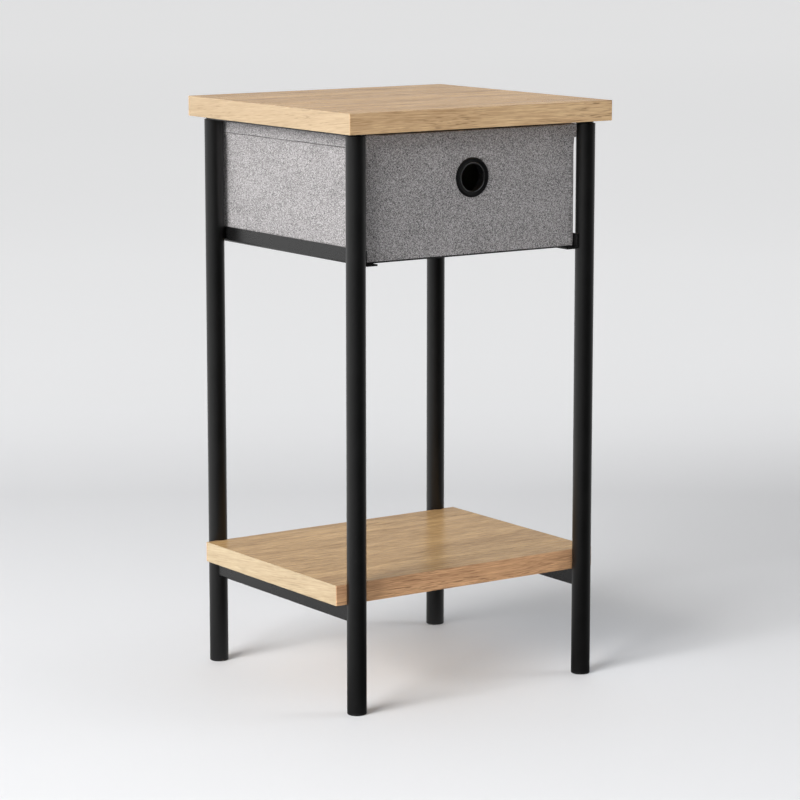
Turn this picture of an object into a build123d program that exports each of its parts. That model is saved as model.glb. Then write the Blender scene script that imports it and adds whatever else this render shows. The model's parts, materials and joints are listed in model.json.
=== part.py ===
from build123d import *
import os

# Side table with a drawer: a board top and a lower board shelf carried by two welded side
# frames of round steel tube, and a fabric drawer that slides on two angle rails under the top.
# Origin: centre of the footprint, on the floor. +X right as seen from the drawer's front,
# +Y back, +Z up. The drawer opens towards -Y. Millimetres.

# Whole table
TABLE_HEIGHT = 610.0
BOARD_THICKNESS = 21.0
EDGE_BAND = 0.8                  # edge strip glued to each board edge

# Top board
TOP_WIDTH = 326.0
TOP_DEPTH = 305.5
TOP_BOTTOM = TABLE_HEIGHT - BOARD_THICKNESS

# Legs: four round tubes with a plastic plug in each foot
LEG_RADIUS = 10.0
LEG_WALL = 1.2
LEG_X = 143.7
LEG_Y = 133.6
LEG_CENTRES = [(x, y) for x in (-LEG_X, LEG_X) for y in (-LEG_Y, LEG_Y)]
PLUG_HEIGHT = 2.2                # the part of the plug that shows below the tube
PLUG_EDGE = 1.2
PLUG_DEPTH = 12.0                # the ribbed part inside the tube
PLUG_RIBS = 3

# Flat bar welded across the two leg tops of each side frame; the top is screwed to it
TOP_BAR_WIDTH = 16.0
TOP_BAR_THICKNESS = 3.0
LEG_TOP = TOP_BOTTOM - TOP_BAR_THICKNESS
TOP_SCREW_Y = 93.0

# Lower shelf, between the front and back legs, with a shallow recess round each leg
SHELF_WIDTH = 326.0
SHELF_DEPTH = 251.6
SHELF_TOP = 134.0
SHELF_BOTTOM = SHELF_TOP - BOARD_THICKNESS
RECESS_RADIUS = LEG_RADIUS + 0.3

# Rectangular tube under each end of the shelf, coped to the legs
SHELF_RAIL_WIDTH = 10.0
SHELF_RAIL_HEIGHT = 18.0
SHELF_RAIL_WALL = 1.2
SHELF_SCREW_Y = 80.0
ACCESS_RADIUS = 3.45             # hole in the rail's underside that a screw head passes through

# Screws: flat heads sunk in the flat bars for the top, pan heads inside the tubes for the shelf
FLAT_HEAD_RADIUS = 4.0
PAN_HEAD_RADIUS = 3.2
SCREW_HEAD_HEIGHT = 2.4
SCREW_SHANK_RADIUS = 2.0
SCREW_BITE = 14.0                # length of thread in the board
SCREW_TIP = 2.5
DRIVE_SIZE = 1.5                 # half the size across corners of the hexagon socket
DRIVE_DEPTH = 1.3
PILOT_RADIUS = SCREW_SHANK_RADIUS + 0.05
CLEARANCE_RADIUS = 2.3
SINK_PLAY = 0.05                 # round a flat head in its countersink

# Angle rails for the drawer, welded to the inner sides of the legs
RAIL_OUTER = LEG_X - LEG_RADIUS  # outer face of the upright flange
RAIL_THICKNESS = 1.8
RAIL_HEIGHT = 16.0
RAIL_WIDTH = 14.6
RAIL_BOTTOM = 456.0
RAIL_FRONT = -136.0
RAIL_BACK = 141.0
RAIL_BEND = 2.4                  # outer radius of the fold

# Drawer: boards between an outer cover and an inner lining, bound by a hem at the rim
DRAWER_HALF_WIDTH = 131.3
DRAWER_FRONT = -131.0
DRAWER_BACK = 141.0
DRAWER_MIDDLE = (DRAWER_FRONT + DRAWER_BACK) / 2
DRAWER_WIDTH = 2 * DRAWER_HALF_WIDTH
DRAWER_DEPTH = DRAWER_BACK - DRAWER_FRONT
DRAWER_BOTTOM = RAIL_BOTTOM + RAIL_THICKNESS + 0.3
DRAWER_TOP = 585.5
CORNER_RADIUS = 2.2
BOTTOM_RADIUS = 1.5
COVER = 1.2
WALL_BOARD = 3.0
LINING = 0.8
BASE_BOARD = 3.0
BASE_CLEARANCE = 0.3
HEM_HEIGHT = 13.5
HEM_PROUD = 1.7
HEM_TOP = 1.0
HEM_INSIDE = 0.8
HEM_SLOPE = 1.2                  # slanted lower edge of the hem
WALL = COVER + WALL_BOARD + LINING
WALL_TOP = DRAWER_TOP - HEM_TOP

# Finger-hole grommet in the drawer front
GROMMET_Z = 537.4
GROMMET_RADIUS = 20.5
GROMMET_HOLE = 13.8
GROMMET_PROUD = 2.0
BARREL_RADIUS = 15.2
GROMMET_FIT = 0.1                # radial play of the barrel in the wall and in the back ring
WASHER_RADIUS = 19.5
WASHER_THICKNESS = 1.6
BARREL_FLARE = 0.6

PLANE_DRAWER = Plane((0, DRAWER_MIDDLE, 0))
GROMMET_AXIS = Axis((0, 0, GROMMET_Z), (0, 1, 0))

os.makedirs("parts", exist_ok=True)


def save(part, name):
    part.label = name
    export_step(part, f"parts/{name}.step")


# ---------------------------------------------------------------- boards and their edge strips

def board(name, width, depth, bottom, screw_points, recessed):
    """Board core inside its edge strips, with blind pilot holes in its underside."""
    with BuildPart() as core:
        with BuildSketch(Plane.XY.offset(bottom)):
            Rectangle(width - 2 * EDGE_BAND, depth - 2 * EDGE_BAND)
            if recessed:
                with Locations(*LEG_CENTRES):
                    Circle(RECESS_RADIUS + EDGE_BAND, mode=Mode.SUBTRACT)
        extrude(amount=BOARD_THICKNESS)
        with BuildSketch(Plane.XY.offset(bottom)):
            with Locations(*screw_points):
                Circle(PILOT_RADIUS)
        extrude(amount=SCREW_BITE + 1, mode=Mode.SUBTRACT)
    save(core.part, name)


def end_strip(name, side, width, depth, bottom):
    """Left or right edge strip, between the front and back strips."""
    with BuildPart() as strip:
        with BuildSketch(Plane((side * (width - EDGE_BAND) / 2, 0, bottom))):
            Rectangle(EDGE_BAND, depth - 2 * EDGE_BAND)
        extrude(amount=BOARD_THICKNESS)
    save(strip.part, name)


def long_strip(name, side, width, depth, bottom, recessed):
    """Front or back edge strip, bent round the leg recesses of the shelf."""
    legs = [(x, side * LEG_Y) for x in (-LEG_X, LEG_X)]
    with BuildPart() as strip:
        with BuildSketch(Plane.XY.offset(bottom)):
            with Locations((0, side * (depth - EDGE_BAND) / 2)):
                Rectangle(width, EDGE_BAND)
            if recessed:
                with Locations(*legs):
                    Circle(RECESS_RADIUS + EDGE_BAND)
                Rectangle(width, depth, mode=Mode.INTERSECT)
                with Locations(*legs):
                    Circle(RECESS_RADIUS, mode=Mode.SUBTRACT)
        extrude(amount=BOARD_THICKNESS)
    save(strip.part, name)


def banded_board(name, width, depth, bottom, screw_points, recessed):
    board(f"{name}_board", width, depth, bottom, screw_points, recessed)
    end_strip(f"{name}_edge_left", -1, width, depth, bottom)
    end_strip(f"{name}_edge_right", 1, width, depth, bottom)
    long_strip(f"{name}_edge_front", -1, width, depth, bottom, recessed)
    long_strip(f"{name}_edge_back", 1, width, depth, bottom, recessed)


TOP_SCREWS = [(x, y) for x in (-LEG_X, LEG_X) for y in (-TOP_SCREW_Y, TOP_SCREW_Y)]
SHELF_SCREWS = [(x, y) for x in (-LEG_X, LEG_X) for y in (-SHELF_SCREW_Y, SHELF_SCREW_Y)]

banded_board("top", TOP_WIDTH, TOP_DEPTH, TOP_BOTTOM, TOP_SCREWS, recessed=False)
banded_board("shelf", SHELF_WIDTH, SHELF_DEPTH, SHELF_BOTTOM, SHELF_SCREWS, recessed=True)


# ---------------------------------------------------------------- side frames

def leg(name, x, y):
    """Round tube from the foot plug up to the flat bar."""
    with BuildPart() as tube:
        with BuildSketch(Plane((x, y, PLUG_HEIGHT))):
            Circle(LEG_RADIUS)
            Circle(LEG_RADIUS - LEG_WALL, mode=Mode.SUBTRACT)
        extrude(amount=LEG_TOP - PLUG_HEIGHT)
    save(tube.part, name)


def foot_plug(name, x, y):
    """Plastic plug: a rounded foot under the tube, and a ribbed stem inside it."""
    bore = LEG_RADIUS - LEG_WALL
    rib_pitch = PLUG_DEPTH / PLUG_RIBS
    with BuildPart() as plug:
        with BuildSketch(Plane((x, y, 0))):
            Circle(LEG_RADIUS)
        extrude(amount=PLUG_HEIGHT)
        fillet(plug.edges().group_by(Axis.Z)[0], radius=PLUG_EDGE)
        with BuildSketch(Plane((x, y, PLUG_HEIGHT))):
            Circle(bore - 1.0)
        extrude(amount=PLUG_DEPTH)
        for i in range(PLUG_RIBS):
            with BuildSketch(Plane((x, y, PLUG_HEIGHT + (i + 0.5) * rib_pitch))):
                Circle(bore - 0.1)
            extrude(amount=rib_pitch / 3)
        with BuildSketch(Plane((x, y, PLUG_HEIGHT + 1))):
            Circle(bore - 2.5)
        extrude(amount=PLUG_DEPTH, mode=Mode.SUBTRACT)
    save(plug.part, name)


def top_bar(name, x):
    """Flat bar with round ends across the front and back leg tops."""
    with BuildPart() as bar:
        with BuildSketch(Plane((x, 0, LEG_TOP))):
            SlotCenterToCenter(2 * LEG_Y, TOP_BAR_WIDTH, rotation=90)
            with Locations((0, -TOP_SCREW_Y), (0, TOP_SCREW_Y)):
                Circle(CLEARANCE_RADIUS, mode=Mode.SUBTRACT)
        extrude(amount=TOP_BAR_THICKNESS)
        with Locations((x, -TOP_SCREW_Y, LEG_TOP), (x, TOP_SCREW_Y, LEG_TOP)):
            Cone(FLAT_HEAD_RADIUS + SINK_PLAY, SCREW_SHANK_RADIUS + SINK_PLAY, SCREW_HEAD_HEIGHT,
                 align=(Align.CENTER, Align.CENTER, Align.MIN), mode=Mode.SUBTRACT)
    save(bar.part, name)


def shelf_rail(name, x):
    """Rectangular tube between the front and back leg, its ends coped to the round tubes."""
    with BuildPart() as rail:
        with BuildSketch(Plane((x, -LEG_Y, SHELF_BOTTOM - SHELF_RAIL_HEIGHT / 2),
                               x_dir=(1, 0, 0), z_dir=(0, 1, 0))):
            Rectangle(SHELF_RAIL_WIDTH, SHELF_RAIL_HEIGHT)
            fillet(vertices(), radius=1.5)
            Rectangle(SHELF_RAIL_WIDTH - 2 * SHELF_RAIL_WALL,
                      SHELF_RAIL_HEIGHT - 2 * SHELF_RAIL_WALL, mode=Mode.SUBTRACT)
        extrude(amount=2 * LEG_Y)
        with BuildSketch(Plane((x, 0, SHELF_BOTTOM - SHELF_RAIL_HEIGHT))):
            with Locations((0, -LEG_Y), (0, LEG_Y)):
                Circle(LEG_RADIUS)
            with Locations((0, -SHELF_SCREW_Y), (0, SHELF_SCREW_Y)):
                Circle(CLEARANCE_RADIUS)
        extrude(amount=SHELF_RAIL_HEIGHT, mode=Mode.SUBTRACT)
        with BuildSketch(Plane((x, 0, SHELF_BOTTOM - SHELF_RAIL_HEIGHT))):
            with Locations((0, -SHELF_SCREW_Y), (0, SHELF_SCREW_Y)):
                Circle(ACCESS_RADIUS)
        extrude(amount=SHELF_RAIL_WALL, mode=Mode.SUBTRACT)
    save(rail.part, name)


def drawer_rail(name, side):
    """Folded angle: an upright flange against the legs and a ledge under the drawer."""
    outer_corner = (side * RAIL_OUTER, 0, RAIL_BOTTOM)
    inner_corner = (side * (RAIL_OUTER - RAIL_THICKNESS), 0, RAIL_BOTTOM + RAIL_THICKNESS)
    with BuildPart() as rail:
        with BuildSketch(Plane((side * RAIL_OUTER, RAIL_FRONT, RAIL_BOTTOM),
                               x_dir=(-side, 0, 0), z_dir=(0, side, 0))):
            Rectangle(RAIL_WIDTH, RAIL_THICKNESS, align=(Align.MIN, Align.MIN))
            Rectangle(RAIL_THICKNESS, RAIL_HEIGHT, align=(Align.MIN, Align.MIN))
        extrude(amount=side * (RAIL_BACK - RAIL_FRONT))
        for point, radius in ((outer_corner, RAIL_BEND), (inner_corner, RAIL_BEND - RAIL_THICKNESS)):
            fillet(rail.edges().filter_by(Axis.Y).sort_by_distance(point)[0], radius=radius)
    save(rail.part, name)


for side_name, side in (("left", -1), ("right", 1)):
    for end_name, end in (("front", -1), ("back", 1)):
        leg(f"leg_{end_name}_{side_name}", side * LEG_X, end * LEG_Y)
        foot_plug(f"foot_plug_{end_name}_{side_name}", side * LEG_X, end * LEG_Y)
    top_bar(f"{side_name}_top_bar", side * LEG_X)
    shelf_rail(f"{side_name}_shelf_rail", side * LEG_X)
    drawer_rail(f"{side_name}_drawer_rail", side)


# ---------------------------------------------------------------- screws

def screws(name, points, head_bottom, board_bottom, flat_head):
    """Screws driven upwards, their threads in the board."""
    shank_bottom = head_bottom if flat_head else head_bottom + SCREW_HEAD_HEIGHT
    tip_bottom = board_bottom + SCREW_BITE - SCREW_TIP
    with BuildPart() as group:
        with Locations(*[(x, y, head_bottom) for x, y in points]):
            if flat_head:
                Cone(FLAT_HEAD_RADIUS, SCREW_SHANK_RADIUS, SCREW_HEAD_HEIGHT,
                     align=(Align.CENTER, Align.CENTER, Align.MIN))
            else:
                Cylinder(PAN_HEAD_RADIUS, SCREW_HEAD_HEIGHT, align=(Align.CENTER, Align.CENTER, Align.MIN))
        if not flat_head:
            fillet(group.edges().group_by(Axis.Z)[0], radius=1.2)
        with BuildSketch(Plane.XY.offset(shank_bottom)):
            with Locations(*points):
                Circle(SCREW_SHANK_RADIUS)
        extrude(amount=tip_bottom - shank_bottom)
        with BuildSketch(Plane.XY.offset(tip_bottom)):
            with Locations(*points):
                Circle(SCREW_SHANK_RADIUS)
        extrude(amount=SCREW_TIP, taper=30)
        with BuildSketch(Plane.XY.offset(head_bottom)):
            with Locations(*points):
                RegularPolygon(DRIVE_SIZE, 6)
        extrude(amount=DRIVE_DEPTH, mode=Mode.SUBTRACT)
    save(group.part, name)


PAN_HEAD_BOTTOM = SHELF_BOTTOM - SHELF_RAIL_WALL - SCREW_HEAD_HEIGHT
screws("top_screws", TOP_SCREWS, LEG_TOP, TOP_BOTTOM, flat_head=True)
screws("shelf_screws", SHELF_SCREWS, PAN_HEAD_BOTTOM, SHELF_BOTTOM, flat_head=False)


# ---------------------------------------------------------------- drawer

def wall_region(inset):
    """Size of the drawer's plan outline, drawn in by an inset on every side."""
    return DRAWER_WIDTH - 2 * inset, DRAWER_DEPTH - 2 * inset


# Hole for the grommet's barrel, cut through every layer of the front wall
with BuildSketch(Plane((0, DRAWER_FRONT - 1, GROMMET_Z), x_dir=(1, 0, 0), z_dir=(0, 1, 0))) as barrel_hole:
    Circle(BARREL_RADIUS + GROMMET_FIT)
FRONT_WALL_CUT = WALL + 2


with BuildPart() as cover:
    with BuildSketch(PLANE_DRAWER.offset(DRAWER_BOTTOM)):
        RectangleRounded(*wall_region(0), CORNER_RADIUS)
    extrude(amount=WALL_TOP - DRAWER_BOTTOM)
    fillet(cover.edges().group_by(Axis.Z)[0], radius=BOTTOM_RADIUS)
    with BuildSketch(PLANE_DRAWER.offset(DRAWER_BOTTOM + COVER)):
        Rectangle(*wall_region(COVER))
    extrude(amount=WALL_TOP - DRAWER_BOTTOM, mode=Mode.SUBTRACT)
    extrude(barrel_hole.sketch, amount=FRONT_WALL_CUT, mode=Mode.SUBTRACT)
save(cover.part, "drawer_cover")


def wall_board(name, centre_x, centre_y, size_x, size_y, holed=False):
    """Stiff board in one wall of the drawer."""
    with BuildPart() as stiffener:
        with BuildSketch(Plane((centre_x, centre_y, DRAWER_BOTTOM + COVER))):
            Rectangle(size_x, size_y)
        extrude(amount=WALL_TOP - DRAWER_BOTTOM - COVER)
        if holed:
            extrude(barrel_hole.sketch, amount=FRONT_WALL_CUT, mode=Mode.SUBTRACT)
    save(stiffener.part, name)


INSIDE_COVER_X, INSIDE_COVER_Y = wall_region(COVER)
SIDE_BOARD_X = (INSIDE_COVER_X - WALL_BOARD) / 2
END_BOARD_Y = (INSIDE_COVER_Y - WALL_BOARD) / 2
END_BOARD_WIDTH = INSIDE_COVER_X - 2 * WALL_BOARD

wall_board("drawer_left_board", -SIDE_BOARD_X, DRAWER_MIDDLE, WALL_BOARD, INSIDE_COVER_Y)
wall_board("drawer_right_board", SIDE_BOARD_X, DRAWER_MIDDLE, WALL_BOARD, INSIDE_COVER_Y)
wall_board("drawer_back_board", 0, DRAWER_MIDDLE + END_BOARD_Y, END_BOARD_WIDTH, WALL_BOARD)
wall_board("drawer_front_board", 0, DRAWER_MIDDLE - END_BOARD_Y, END_BOARD_WIDTH, WALL_BOARD,
           holed=True)

with BuildPart() as lining:
    with BuildSketch(PLANE_DRAWER.offset(DRAWER_BOTTOM + COVER)):
        Rectangle(*wall_region(COVER + WALL_BOARD))
    extrude(amount=WALL_TOP - DRAWER_BOTTOM - COVER)
    with BuildSketch(PLANE_DRAWER.offset(DRAWER_BOTTOM + COVER + LINING)):
        Rectangle(*wall_region(WALL))
    extrude(amount=WALL_TOP - DRAWER_BOTTOM, mode=Mode.SUBTRACT)
    extrude(barrel_hole.sketch, amount=FRONT_WALL_CUT, mode=Mode.SUBTRACT)
save(lining.part, "drawer_lining")

with BuildPart() as base_board:
    with BuildSketch(PLANE_DRAWER.offset(DRAWER_BOTTOM + COVER + LINING)):
        RectangleRounded(*wall_region(WALL + BASE_CLEARANCE), 2.0)
    extrude(amount=BASE_BOARD)
save(base_board.part, "drawer_base_board")

# The hem folds over the rim: a thick outer skirt, a thin top and a thin inner skirt
with BuildPart() as hem:
    with BuildSketch(PLANE_DRAWER.offset(DRAWER_TOP - HEM_HEIGHT)):
        RectangleRounded(*wall_region(-HEM_PROUD), CORNER_RADIUS)
    extrude(amount=HEM_HEIGHT)
    chamfer(hem.edges().group_by(Axis.Z)[0], length=HEM_SLOPE)
    fillet(hem.edges().group_by(Axis.Z)[-1], radius=HEM_TOP * 0.8)
    with BuildSketch(PLANE_DRAWER.offset(DRAWER_TOP - HEM_HEIGHT)):
        Rectangle(*wall_region(WALL + HEM_INSIDE))
    extrude(amount=HEM_HEIGHT, mode=Mode.SUBTRACT)
    with BuildSketch(PLANE_DRAWER.offset(DRAWER_TOP - HEM_HEIGHT)):
        RectangleRounded(*wall_region(0), CORNER_RADIUS)
        Rectangle(*wall_region(WALL), mode=Mode.SUBTRACT)
    extrude(amount=HEM_HEIGHT - HEM_TOP, mode=Mode.SUBTRACT)
save(hem.part, "drawer_hem")

# Grommet: a flanged barrel from the front, locked by a ring pressed on behind the wall.
# Its section is drawn as radius and depth, radius upwards from the hole's axis.
FLANGE_FACE = DRAWER_FRONT - GROMMET_PROUD
WALL_INSIDE = DRAWER_FRONT + WALL
SECTION = Plane((0, 0, GROMMET_Z), x_dir=(0, 1, 0), z_dir=(1, 0, 0))

with BuildPart() as grommet_front:
    with BuildSketch(SECTION):
        with BuildLine():
            lip = (FLANGE_FACE, GROMMET_HOLE + 1.0)
            valley = (FLANGE_FACE + 0.7, GROMMET_HOLE + 2.6)
            brim = (FLANGE_FACE + 0.5, GROMMET_RADIUS - 2.0)
            rim = (DRAWER_FRONT, GROMMET_RADIUS)
            RadiusArc((FLANGE_FACE + 1.0, GROMMET_HOLE), lip, 1.0)
            Line(lip, valley)
            Line(valley, brim)
            ThreePointArc(brim, (FLANGE_FACE + 1.0, GROMMET_RADIUS - 0.6), rim)
            Polyline(
                rim,
                (DRAWER_FRONT, BARREL_RADIUS),
                (WALL_INSIDE + WASHER_THICKNESS, BARREL_RADIUS),
                (WALL_INSIDE + WASHER_THICKNESS + BARREL_FLARE, BARREL_RADIUS + BARREL_FLARE),
                (WALL_INSIDE + WASHER_THICKNESS + 2 * BARREL_FLARE, GROMMET_HOLE),
                (FLANGE_FACE + 1.0, GROMMET_HOLE),
            )
        make_face()
    revolve(axis=GROMMET_AXIS)
save(grommet_front.part, "grommet_front")

with BuildPart() as grommet_back:
    with BuildSketch(SECTION):
        with Locations((WALL_INSIDE, BARREL_RADIUS + GROMMET_FIT)):
            Rectangle(WASHER_THICKNESS, WASHER_RADIUS - BARREL_RADIUS - GROMMET_FIT,
                      align=(Align.MIN, Align.MIN))
    revolve(axis=GROMMET_AXIS)
    fillet(grommet_back.edges().filter_by(GeomType.CIRCLE).sort_by(SortBy.RADIUS)[-2:]
           .sort_by(Axis.Y)[-1], radius=0.8)
save(grommet_back.part, "grommet_back")
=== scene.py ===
import json
import math
import random

import bmesh
import bpy
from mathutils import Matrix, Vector, noise


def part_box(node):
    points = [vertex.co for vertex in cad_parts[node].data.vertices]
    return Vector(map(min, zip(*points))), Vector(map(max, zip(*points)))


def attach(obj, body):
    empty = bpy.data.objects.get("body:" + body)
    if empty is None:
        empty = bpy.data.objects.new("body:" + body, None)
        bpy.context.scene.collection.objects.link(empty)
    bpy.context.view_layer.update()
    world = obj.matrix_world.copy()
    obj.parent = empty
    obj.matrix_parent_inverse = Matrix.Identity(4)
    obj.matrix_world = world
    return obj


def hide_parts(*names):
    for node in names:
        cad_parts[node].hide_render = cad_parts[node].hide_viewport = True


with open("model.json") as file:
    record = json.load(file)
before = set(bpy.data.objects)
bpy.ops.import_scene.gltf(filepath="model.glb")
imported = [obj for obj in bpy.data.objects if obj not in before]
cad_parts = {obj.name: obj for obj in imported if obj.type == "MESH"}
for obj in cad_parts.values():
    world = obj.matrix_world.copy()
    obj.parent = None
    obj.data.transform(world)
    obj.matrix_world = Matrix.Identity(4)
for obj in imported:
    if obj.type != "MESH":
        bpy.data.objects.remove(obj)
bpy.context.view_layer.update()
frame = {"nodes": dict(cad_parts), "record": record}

# Side table with a fabric drawer. Metres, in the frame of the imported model: +X right as seen
# from the drawer's front, +Y back, +Z up. Places come from the boxes of the CAD nodes.

nodes = frame["nodes"]
scene = bpy.context.scene
scene.view_settings.view_transform = "Standard"
scene.view_settings.look = "None"
MM = 0.001                       # the script's sizes are in metres, written as so many of these


# ---------------------------------------------------------------- camera

CAMERA_PLACE = (-1.8195, -2.6224, 0.8363)
CAMERA_DOWN = 9.708              # degrees below level
CAMERA_TURN = -34.788            # degrees round from facing +Y
CAMERA_LENS = 137.39             # mm, on a sensor 36 mm wide

camera_data = bpy.data.cameras.new("camera")
camera_data.lens = CAMERA_LENS
camera_data.sensor_width = 36.0
camera = bpy.data.objects.new("camera", camera_data)
camera.location = CAMERA_PLACE
camera.rotation_euler = (math.radians(90.0 - CAMERA_DOWN), 0.0, math.radians(CAMERA_TURN))
scene.collection.objects.link(camera)
scene.camera = camera


# ---------------------------------------------------------------- node trees

def new_node(tree, kind, inputs=None, **settings):
    """One shader node. An input takes a value, or the output of another node."""
    made = tree.nodes.new("ShaderNode" + kind)
    for key, value in settings.items():
        setattr(made, key, value)
    for key, value in (inputs or {}).items():
        if isinstance(value, bpy.types.NodeSocket):
            tree.links.new(value, made.inputs[key])
        else:
            made.inputs[key].default_value = value
    return made


def calc(tree, operation, first, second=0.0):
    """A Math node's output."""
    return new_node(tree, "Math", {0: first, 1: second}, operation=operation).outputs[0]


def weighted_sum(tree, *terms):
    """The sum of (value, weight) pairs."""
    products = [calc(tree, "MULTIPLY", value, weight) for value, weight in terms]
    total = products[0]
    for product in products[1:]:
        total = calc(tree, "ADD", total, product)
    return total


def combine(tree, operation, first, second):
    """A vector worked out from two others."""
    return new_node(tree, "VectorMath", {0: first, 1: second}, operation=operation).outputs["Vector"]


def dimmed(tree, vector, share):
    """The vector or colour multiplied by one number."""
    return new_node(tree, "VectorMath", {0: vector, 3: share}, operation="SCALE").outputs["Vector"]


def along(tree, vector, direction):
    """How far the vector reaches in a direction."""
    return new_node(tree, "VectorMath", {0: vector, 1: direction}, operation="DOT_PRODUCT").outputs["Value"]


def length(tree, vector):
    return new_node(tree, "VectorMath", {0: vector}, operation="LENGTH").outputs["Value"]


def scaled(tree, vector, scale, turn=(0.0, 0.0, 0.0)):
    """The coordinates turned, then stretched."""
    turned = new_node(tree, "Mapping", {"Vector": vector, "Rotation": turn}).outputs[0]
    return combine(tree, "MULTIPLY", turned, scale)


def noise_value(tree, vector, scale=1.0, detail=2.0, roughness=0.5):
    inputs = {"Vector": vector, "Scale": scale, "Detail": detail, "Roughness": roughness}
    return new_node(tree, "TexNoise", inputs).outputs["Fac"]


def in_range(tree, value, low, high, new_low=0.0, new_high=1.0):
    """The value carried from one range to another, held at its ends."""
    inputs = {"Value": value, "From Min": low, "From Max": high, "To Min": new_low, "To Max": new_high}
    return new_node(tree, "MapRange", inputs).outputs[0]


def mixed(tree, share, first, second, blend="MIX"):
    inputs = {0: share, 6: first, 7: second}
    return new_node(tree, "Mix", inputs, data_type="RGBA", blend_type=blend).outputs[2]


def bump(tree, height, distance, strength):
    inputs = {"Height": height, "Distance": distance, "Strength": strength}
    return new_node(tree, "Bump", inputs).outputs["Normal"]


def new_material(name, **sockets):
    """A material with its Principled shader, whose uniform values are set on the shader itself."""
    material = bpy.data.materials.new(name)
    material.use_nodes = True
    shader = material.node_tree.nodes["Principled BSDF"]
    for key, value in sockets.items():
        shader.inputs[key.replace("_", " ")].default_value = value
    return material, material.node_tree, shader


def object_points(tree):
    return new_node(tree, "TexCoord").outputs["Object"]


def grey(value):
    return (value, value, value, 1.0)


# ---------------------------------------------------------------- materials

PORE_PITCH = 1.15 * MM           # spacing of the fine dark pores across the grain
GRAIN_SWAY = 0.010               # metres that the grain wanders from side to side
BAND_SHARE, LINE_SHARE, DASH_SHARE = 0.30, 0.35, 0.35   # of the grain's tone
TONE_SPREAD = 0.16               # half the range of tones at a contrast of one


def oak(name, turn, pale, dark, contrast, fleck_share, roughness, line_pitch):
    """Oak-look laminate: broad bands, fine lines and short dark pores, all drawn out along the grain.
    Turn is the rotation that brings the grain's direction to X. Line_pitch is the spacing of the lines."""
    material, tree, shader = new_material(name, Specular_IOR_Level=0.03)
    points = object_points(tree)
    sway = noise_value(tree, scaled(tree, points, (5.0, 14.0, 14.0), turn), detail=2.0)
    sway = calc(tree, "MULTIPLY", calc(tree, "SUBTRACT", sway, 0.5), GRAIN_SWAY)
    shift = new_node(tree, "CombineXYZ", {"Y": sway, "Z": sway}).outputs[0]
    straight = scaled(tree, points, (1.0, 1.0, 1.0), turn)
    grain = combine(tree, "ADD", straight, shift)

    def streaks(place, length_scale, across_scale, **settings):
        """Noise drawn out along the grain."""
        return noise_value(tree, scaled(tree, place, (length_scale, across_scale, across_scale)), **settings)

    bands = streaks(grain, 2.5, 55.0, detail=3.0)
    lines = streaks(grain, 14.0, 1.0 / line_pitch, detail=3.0, roughness=0.65)
    dashes = streaks(grain, 50.0, 1.6 / line_pitch, detail=2.0, roughness=0.6)
    pores = in_range(tree, streaks(straight, 60.0, 1.0 / PORE_PITCH, detail=2.0), 0.56, 0.66)
    patches = in_range(tree, streaks(grain, 12.0, 30.0, detail=1.0), 0.40, 0.60, 0.2, 1.0)
    pores = calc(tree, "MULTIPLY", pores, patches)

    tone = weighted_sum(tree, (bands, BAND_SHARE), (lines, LINE_SHARE), (dashes, DASH_SHARE))
    tone = in_range(tree, tone, 0.5 - TONE_SPREAD / contrast, 0.5 + TONE_SPREAD / contrast)
    colour = mixed(tree, tone, (*pale, 1.0), (*dark, 1.0))
    fleck = tuple(0.5 * value for value in dark)
    colour = mixed(tree, calc(tree, "MULTIPLY", pores, fleck_share), colour, (*fleck, 1.0))
    tree.links.new(colour, shader.inputs["Base Color"])

    rough = in_range(tree, lines, 0.3, 0.7, roughness - 0.04, roughness + 0.06)
    rough = calc(tree, "ADD", rough, calc(tree, "MULTIPLY", pores, 0.12))
    tree.links.new(rough, shader.inputs["Roughness"])
    height = calc(tree, "SUBTRACT", calc(tree, "MULTIPLY", lines, 0.4), pores)
    tree.links.new(bump(tree, height, 0.05 * MM, 0.15), shader.inputs["Normal"])
    return material


def powder_coat(name, black, roughness):
    """Black satin powder coat: a fine orange peel and slightly uneven gloss."""
    material, tree, shader = new_material(name)
    points = object_points(tree)
    peel = noise_value(tree, scaled(tree, points, (1400.0, 1400.0, 1400.0)), detail=2.0)
    cloud = noise_value(tree, scaled(tree, points, (35.0, 35.0, 35.0)), detail=3.0)
    shade = in_range(tree, cloud, 0.3, 0.7, 0.85, 1.15)
    tree.links.new(dimmed(tree, (black, black, black), shade), shader.inputs["Base Color"])
    cloudy = in_range(tree, cloud, 0.3, 0.7, roughness - 0.03, roughness + 0.03)
    pebbly = in_range(tree, peel, 0.3, 0.7, -0.02, 0.02)
    tree.links.new(calc(tree, "ADD", cloudy, pebbly), shader.inputs["Roughness"])
    tree.links.new(bump(tree, peel, 0.02 * MM, 0.25), shader.inputs["Normal"])
    return material


LIP_RADIUS = 14.75 * MM          # middle of the grommet's inner lip
LIP_WIDTH = 0.75 * MM            # how far its painted highlight reaches either way
LIP_HIGHLIGHT_GREY = 0.06                  # tone of the painted highlight there


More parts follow.
